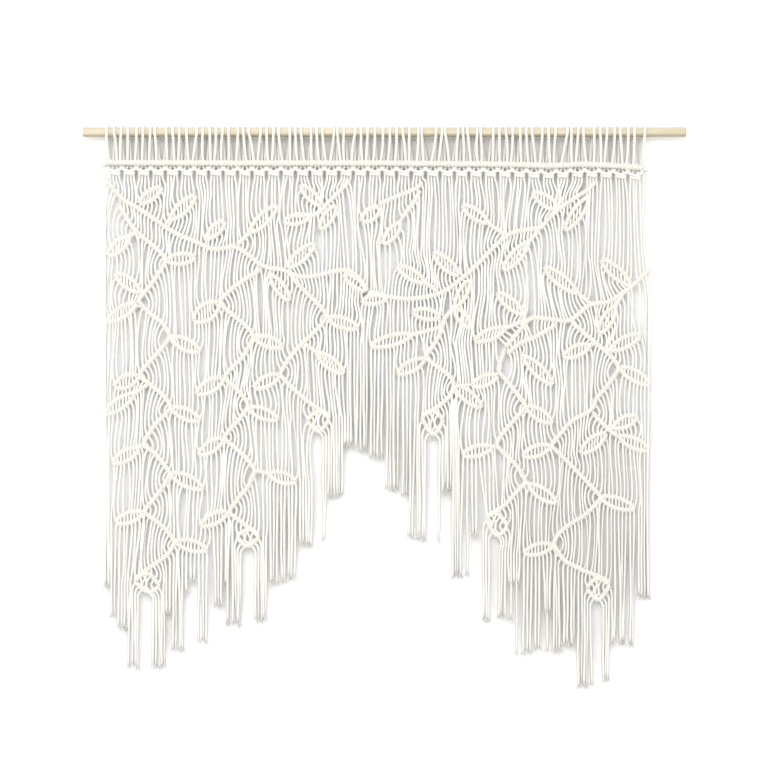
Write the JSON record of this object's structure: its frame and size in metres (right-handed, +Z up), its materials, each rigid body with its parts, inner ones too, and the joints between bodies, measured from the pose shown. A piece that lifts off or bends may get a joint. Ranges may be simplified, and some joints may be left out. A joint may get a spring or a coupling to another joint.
{
  "type": "macrame curtain on a wooden rod",
  "caption": "Knotted cotton cord curtain with leafy vines and an arched, uneven fringe, hung on a plain wooden rod.",
  "frame": {"origin": "middle of the rod, on its axis, where the rod is held up", "axes": "+X along the rod to the right as seen from the front, +Z up, and the curtain's front faces -Y"},
  "size_m": [1.106, 0.0268, 1.0224],
  "materials": {
    "rod_wood": "matte, fine straight grain",
    "cotton_cord": "matte twisted cotton"
  },
  "bodies": {
    "root": {"rod": "rod_wood", "heading": "cotton_cord", "panel": "cotton_cord"}
  },
  "joints": []
}
